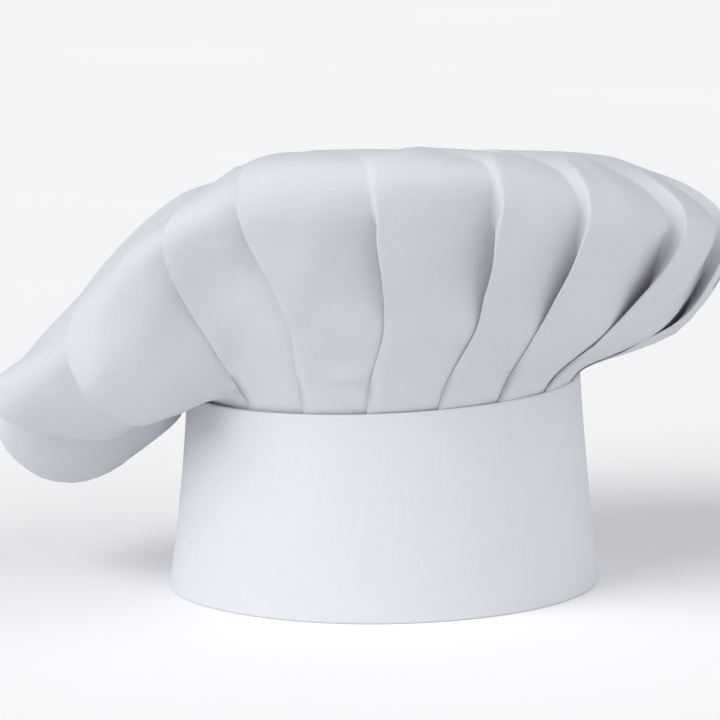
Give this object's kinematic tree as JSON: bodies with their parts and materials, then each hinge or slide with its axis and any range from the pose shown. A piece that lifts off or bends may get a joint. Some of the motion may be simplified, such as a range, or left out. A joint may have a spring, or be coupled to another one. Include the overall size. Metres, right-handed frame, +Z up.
{
  "type": "chef toque",
  "caption": "Soft pleated cloth crown on a tall stiffened head band, flopped to one side, with an adjustable closure at the back.",
  "frame": {"origin": "centre of the head opening, in the plane of the band's lower edge", "axes": "+Z up out of the head, -Y the front of the hat, +X to the right seen from the front; the crown flops towards -X"},
  "size_m": [0.3311, 0.2948, 0.209],
  "materials": {
    "poplin": "matt white cotton poplin, fine plain weave",
    "lining": "matt white cotton poplin",
    "interfacing": "off-white bonded interfacing",
    "thread": "white polyester sewing thread",
    "hook": "white nylon hook tape",
    "loop": "white brushed nylon loop tape",
    "label": "white woven satin, blank"
  },
  "bodies": {
    "band": {"band_outer": "poplin", "band_stiffener": "interfacing", "band_lining": "lining", "pleat_collar": "poplin", "crown_seam_thread": "thread", "hem_thread": "thread", "tab_root": "poplin", "loop_tape": "loop"},
    "crown": {"crown": "poplin"},
    "closure_tab": {"tab_face": "poplin", "tab_stiffener": "interfacing", "tab_backing": "lining", "hook_tape": "hook"},
    "care_label": {"care_label": "label"}
  },
  "joints": [
    {"name": "crown_lean", "type": "hinge", "parent": "band", "child": "crown", "pos_m": [0, 0, 0.093], "axis": [0, 1, 0], "range_deg": [0, 12]},
    {"name": "tab_peel", "type": "hinge", "parent": "band", "child": "closure_tab", "pos_m": [-0.02888, 0.09445, 0.0455], "axis": [0.0251, -0.0822, 0.9963], "range_deg": [0, 100]},
    {"name": "label_flip", "type": "hinge", "parent": "band", "child": "care_label", "pos_m": [0.04249, 0.07359, 0.084], "axis": [-0.866, 0.5, 0], "range_deg": [0, 80]}
  ]
}
